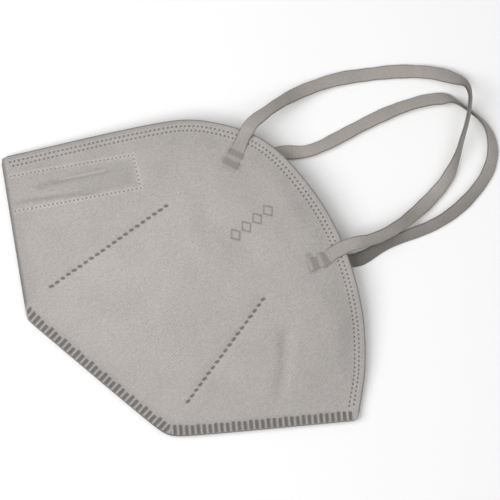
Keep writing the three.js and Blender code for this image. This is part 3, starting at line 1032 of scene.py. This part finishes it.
def ply_material(name, colour, fibre_scale, contrast, bond=0.0):
    n = Nodes(name)
    fibres = n.noise(cloth_map(n, (1, 2.6, 1), 0.5), fibre_scale, 4, 0.65)
    crossed = n.noise(cloth_map(n, (2.6, 1, 1), 0.2), fibre_scale, 4, 0.65)
    mottle = n.noise(cloth_map(n), 0.35, 3)
    pressed = n.map_range(n.cells(cloth_map(n, turn=0.6), 0.95, 0.12), 0.12, 0.3, 1.0, 0.0)
    texture = n.math("ADD", fibres, crossed)
    tone = n.map_range(texture, 0.7, 1.3, 1 - contrast, 1 + contrast)
    tone = n.vary(tone, (mottle, 0.3, 0.7, 0.97, 1.02), (pressed, 0, 1, 1.0, 1 - bond))
    height = n.math("SUBTRACT", texture, n.math("MULTIPLY", pressed, 6 * bond))
    return n.finish(Base_Color=n.shade((*colour, 1), tone), Roughness=n.map_range(pressed, 0, 1, 0.92, 0.7),
                    Normal=n.bump(height, 0.0001, 0.6), Sheen_Weight=0.1)


def clip_material():
    n = Nodes("clip_metal")
    brushed = n.noise(cloth_map(n, (0.25, 6.0, 1)), 1.0, 4, 0.6)
    stain = n.noise(cloth_map(n), 0.3, 3)
    tone = n.vary(n.map_range(brushed, 0.3, 0.7, 0.93, 1.05), (stain, 0.35, 0.7, 1.03, 0.9))
    rough = n.map_range(stain, 0.3, 0.7, 0.34, 0.5)
    return n.finish(Base_Color=n.shade((0.72, 0.72, 0.71, 1), tone), Metallic=1.0, Roughness=rough,
                    Normal=n.bump(brushed, 0.00003, 0.5))


# -------------------- ear loops
def smooth_route(points, step):
    """A centripetal Catmull-Rom curve through the points; the first three columns are the place."""
    p = np.array(points, float)
    p = np.vstack([2 * p[0] - p[1], p, 2 * p[-1] - p[-2]])
    gaps = np.maximum(np.linalg.norm(np.diff(p[:, :3], axis=0), axis=1), 1e-6) ** 0.5
    knots = np.concatenate([[0], np.cumsum(gaps)])
    out = []
    for k in range(1, len(p) - 2):
        t = np.linspace(knots[k], knots[k + 1], 24, endpoint=False)[:, None]
        t0, t1, t2, t3 = knots[k - 1:k + 3]
        a1 = mix(p[k - 1], p[k], (t - t0) / (t1 - t0))
        a2 = mix(p[k], p[k + 1], (t - t1) / (t2 - t1))
        a3 = mix(p[k + 1], p[k + 2], (t - t2) / (t3 - t2))
        b1 = mix(a1, a2, (t - t0) / (t2 - t0))
        b2 = mix(a2, a3, (t - t1) / (t3 - t1))
        out.append(mix(b1, b2, (t - t1) / (t2 - t1)))
    dense = np.vstack(out + [p[-2:-1]])
    lengths = np.concatenate([[0], np.cumsum(np.linalg.norm(np.diff(dense[:, :3], axis=0), axis=1))])
    along = np.linspace(0, lengths[-1], round(lengths[-1] / step) + 1)
    return along, np.stack([np.interp(along, lengths, dense[:, k]) for k in range(dense.shape[1])], 1)


LOOSE_THICKNESS = 1.25
OUT_OF_COVER = 0.46      # how far the middle lies above the cover at the welds, in thicknesses
# each row: crease x, y, height of the middle (none: on the cover), roll in degrees (outer edge down) and the
# thickness where it isn't the loose one
LEFT_ROUTE = [
    [68.7, 45.4, None, 0, 0.32], [68.2, 48.4, None, 0, 0.34], [67.6, 51.8, None, 0, 0.36],
    [66.9, 55.2, None, 0, 0.7], [66.3, 58.2, None, 0, 0.9], [65.9, 61.4, 12.7, 2, 1.0],
    [65.9, 64.6, 11.9, 14], [67.2, 69.6, 9.9, 28], [69.7, 77.0, 6.8, 27], [73.8, 85.4, 3.6, 18],
    [80.8, 95.5, 1.7, 12], [88.5, 103.4, 1.1, 8], [98.2, 112.0, 1.2, 8], [107.6, 118.2, 2.2, 12],
    [115.2, 121.2, 3.8, 24], [120.4, 121.9, 5.8, 55], [123.6, 119.8, 7.2, 72], [126.2, 115.9, 7.9, 75],
    [128.6, 111.2, 7.2, 74], [130.8, 105.6, 5.6, 70], [133.4, 98.6, 3.9, 58], [135.2, 90.4, 2.4, 22],
    [134.9, 82.0, 2.0, 10], [133.3, 73.4, 3.4, 10], [131.1, 65.8, 5.6, 24], [128.2, 59.4, 7.3, 30],
    [124.9, 54.6, 8.8, 24], [121.8, 51.2, 10.2, 8, 1.0], [119.0, 47.0, None, 0, 0.9],
    [117.3, 43.4, None, 0, 0.6], [115.9, 39.8, None, 0, 0.36], [113.9, 36.6, None, 0, 0.34],
    [112.6, 34.6, None, 0, 0.32],
]
RIGHT_ROUTE = [
    [68.5, 47.3, None, 0, 0.4], [72.6, 52.3, None, 0, 0.45], [76.6, 57.2, None, 0, 0.55],
    [81.2, 62.9, 0.55, 0, 0.8], [84.4, 65.2, 1.0, 12], [87.8, 68.2, 1.4, 22], [91.0, 72.8, 1.5, 24],
    [94.5, 79.6, 1.4, 20], [98.4, 87.6, 1.3, 18], [102.6, 95.5, 1.3, 20], [107.2, 102.8, 1.6, 26],
    [112.4, 109.3, 1.7, 28], [117.4, 113.6, 2.0, 34], [119.8, 114.7, 2.5, 60], [122.2, 115.1, 2.7, 76],
    [127.0, 115.3, 2.7, 78], [131.9, 115.1, 2.7, 76], [136.4, 113.9, 2.5, 62], [140.6, 111.0, 2.1, 40],
    [144.0, 106.6, 1.8, 32], [146.0, 100.6, 1.7, 26], [146.4, 93.6, 1.6, 24], [145.6, 86.4, 1.6, 24],
    [143.6, 79.0, 1.7, 26], [140.6, 72.4, 1.8, 30], [136.8, 66.4, 1.9, 34], [133.0, 60.4, 2.0, 38],
    [130.0, 54.6, 1.8, 36], [128.2, 50.2, 1.2, 20, 1.0], [126.2, 46.8, 0.6, 6, 0.8],
    [122.6, 43.6, None, 0, 0.55], [118.2, 40.2, None, 0, 0.45], [113.6, 36.6, None, 0, 0.4],
]


def grid_swell(x, y):
    """The swell at a crease point."""
    i = x / CREASE_LENGTH * (len(COLUMNS) - 1)
    rows = np.arange(len(ROWS))
    values = grid_point(np.full(len(ROWS), i), rows.astype(float))[1]
    return swell_at(np.array([i]), np.array([np.interp(y, values, rows)]))[0]


def settled(route, side):
    """The route with every height and thickness filled in."""
    filled = []
    for x, y, z, roll, *thin in route:
        thick = thin[0] if thin else LOOSE_THICKNESS
        if z is None:
            outer = float(outer_height(np.array([x]), np.array([y]), side, grid_swell(x, y))[0])
            z = outer + side * thick * OUT_OF_COVER
        filled.append([x, y, z, roll, thick])
    return filled


SECTION_POINTS = 48
RING_STEP = 0.3
# painted light and shade along each loop, lighter or darker stretches where it turns towards or away from the
# light or lies in the shadow of the other loop or the cover: middle in mm from the nose end, half length,
# amount
LOOP_PAINTED_LIGHT_AND_SHADE = {1: [(18, 8, 0.08), (35, 9, -0.16), (74, 18, 0.05), (109, 8, -0.32), (137, 16, 0.12),
                  (163, 9, -0.16)],
              -1: [(21, 9, 0.3), (92, 6, -0.25), (110, 8, 0.12), (138, 14, -0.2), (172, 18, -0.52)]}
WELD_SPOTS = ((2.6, 1.15), (6.5, 0.95))   # middle and half length of each weld, from the band's end


KNIT_PITCH = 1.2


def band_directions(centre, roll):
    """The directions across the band and out of its face, at each point of its middle line."""
    tangent = unit(np.gradient(centre, axis=0))
    outside = unit(np.cross([0, 0, 1.0], tangent))
    upward = np.cross(tangent, outside)
    return outside * np.cos(roll) - upward * np.sin(roll), upward * np.cos(roll) + outside * np.sin(roll)


def tube_faces(rings, n):
    """The faces of a tube of rings with n points each, and its flat ends."""
    faces = [[r + k, r + m, r + n + m, r + n + k] for r in range(0, (rings - 1) * n, n)
             for k, m in round_pairs(list(range(n)))]
    return faces + [list(range(n))[::-1], [(rings - 1) * n + k for k in range(n)]]


def band(name, route, side):
    """One ear loop, with its middle line and length. Its rings run down the arrays and their points across."""
    along, line = smooth_route(settled(route, side), RING_STEP)
    along, centre, thick = along[:, None], line[:, :3], line[:, 4:]
    wide, face = band_directions(centre, np.radians(line[:, 3:4]))
    turn = np.linspace(0, 2 * math.pi, SECTION_POINTS, endpoint=False)
    a = np.sign(np.cos(turn)) * np.abs(np.cos(turn)) ** 0.8
    b = np.sign(np.sin(turn)) * np.abs(np.sin(turn)) ** 0.85
    from_end = np.minimum(along, along[-1] - along)
    inside = sum(plateau(np.abs(from_end - middle), half, 0.3) for middle, half in WELD_SPOTS)
    hatch = inside * (0.5 + 0.5 * np.cos(math.pi * a * BAND_WIDTH / WELD_PITCH))
    stitch = 0.012 * np.sin(2 * math.pi * (along / KNIT_PITCH + 0.22 * np.abs(a))) * np.abs(b)
    nick = 0.035 * np.sin(2 * math.pi * along / KNIT_PITCH) * (np.abs(a) > 0.9)
    slack = 0.03 * np.sin(2 * math.pi * along / 19 + 0.7) + 0.02 * np.sin(2 * math.pi * along / 7.3)
    half_width = BAND_WIDTH / 2 * (1 + 0.1 * inside + slack) + nick
    half_thick = thick / 2 + stitch * (thick > 0.6) - 0.05 * hatch * (b > 0)
    points = centre[:, None] + wide[:, None] * (a * half_width)[..., None]
    points = (points + face[:, None] * (b * half_thick)[..., None]).reshape(-1, 3)
    uv = np.stack(np.broadcast_arrays(along, a * BAND_WIDTH / 2 + np.sign(b) * 9), -1).reshape(-1, 2)
    edge = smoothstep((from_end - 7) / 4) * smoothstep((np.abs(a) - 0.8) / 0.2)
    # painted light and shade along the loop, with the darker welds at its ends
    painted_light_and_shade = 1.03 + sum(amount * np.exp(-((along - middle) / half) ** 2)
                      for middle, half, amount in LOOP_PAINTED_LIGHT_AND_SHADE[side])
    shade = painted_light_and_shade * (1 - 0.12 * hatch) * (1 - 0.22 * inside)
    values = {"edge": edge.ravel(), "shade": shade.ravel()}
    obj = to_object(name, place(*points.T), tube_faces(len(centre), SECTION_POINTS), uv, values)
    return obj, place(*centre.T), float(along[-1, 0]) * MM


CLIP_START = (8.2, -9.7)
CLIP_HEADING = (0.694, 0.72)
CLIP_REACH = (1.9, 47.6)
CLIP_WIDTH = 4.2
CLIP_DEPTHS = (0.45, 0.9)      # its two faces, below the cover's outer face
CLIP_RIBS = 2                  # the stiffening channels along it
CLIP_RIB_HEIGHT = 0.1
CLIP_END = 1.6                 # how far its ends are rounded off


def nose_clip(name, side):
    """The metal strip in the nose pocket of one half, from the ridge fold to its rounded end."""
    u = np.linspace(*CLIP_REACH, 150)
    v = np.linspace(-1, 1, 25)
    uu, vv = np.meshgrid(u, v, indexing="ij")
    from_end = np.clip((CLIP_REACH[1] - uu) / CLIP_END, 0.05, 1)
    across = vv * CLIP_WIDTH / 2 * np.sqrt(1 - (1 - from_end) ** 2)
    x = CLIP_START[0] + CLIP_HEADING[0] * uu - CLIP_HEADING[1] * across
    y = CLIP_START[1] + CLIP_HEADING[1] * uu + CLIP_HEADING[0] * across
    swell = np.array([grid_swell(a, b) for a, b in zip(x.ravel(), y.ravel())]).reshape(x.shape)
    outer = outer_height(x, y, side, swell)
    rib = CLIP_RIB_HEIGHT * np.cos(math.pi * CLIP_RIBS * vv) ** 2 * (np.abs(vv) < 0.9)
    rim = 0.12 * smoothstep((np.abs(vv) - 0.8) / 0.2)
    layers = [outer - side * ply_depth(x, y, CLIP_DEPTHS[0] - rib + rim, side),
              outer - side * ply_depth(x, y, CLIP_DEPTHS[1] - rib - rim, side)]
    upper, lower = (np.stack([x, y, z], -1).reshape(-1, 3) for z in layers)
    return closed_sheet(name, side, x.shape, upper, lower, np.stack([uu, across], -1).reshape(-1, 2))


make_camera()
make_studio()

loop_finish = band_material()
for hand, route, side in (("left", LEFT_ROUTE, 1), ("right", RIGHT_ROUTE, -1)):
    loop, line, length = band(f"ear_loop_{hand}_band", route, side)
    loop.data.materials.append(loop_finish)
    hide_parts(f"ear_loop_{hand}", f"loop_tab_nose_{hand}", f"loop_tab_chin_{hand}")
    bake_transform(loop)

PLIES = [("cotton_layer", "cotton", (1.0, 1.5), 1.5), ("filter_layer_a", "filter", (1.58, 1.78), 1.5),
         ("filter_layer_b", "filter", (1.86, 2.06), 1.5), ("lining", "lining_fabric", (2.14, 2.39), 0.0)]
finishes = {"cover_fabric": cover_material(),
            "cotton": ply_material("cotton", (0.8, 0.79, 0.76), 0.8, 0.05),
            "filter": ply_material("filter", (0.86, 0.85, 0.83), 1.6, 0.03),
            "lining_fabric": ply_material("lining_fabric", (0.74, 0.73, 0.71), 1.2, 0.07, 0.09)}


def dress(obj, slot, nodes):
    obj.data.materials.append(finishes[slot])
    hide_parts(*nodes)
    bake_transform(obj)


for hand, side in (("left", 1), ("right", -1)):
    nodes = [f"outer_cover_{hand}"] + (["outer_cover_front"] if side > 0 else [])
    dress(cover(f"outer_cover_{hand}_half", side), "cover_fabric", nodes)
    for ply, slot, depths, inset in PLIES:
        nodes = [f"{ply}_{hand}"] + ([f"{ply}_front"] if side > 0 else [])
        dress(inner_ply(f"{ply}_{hand}_half", side, depths, inset), slot, nodes)

clip_finish = clip_material()
for hand, side in (("left", 1), ("right", -1)):
    clip = nose_clip(f"nose_clip_{hand}", side)
    clip.data.materials.append(clip_finish)
    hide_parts(f"nose_clip_arm_{hand}", *(["nose_clip_bridge"] if side > 0 else []))
    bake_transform(clip)
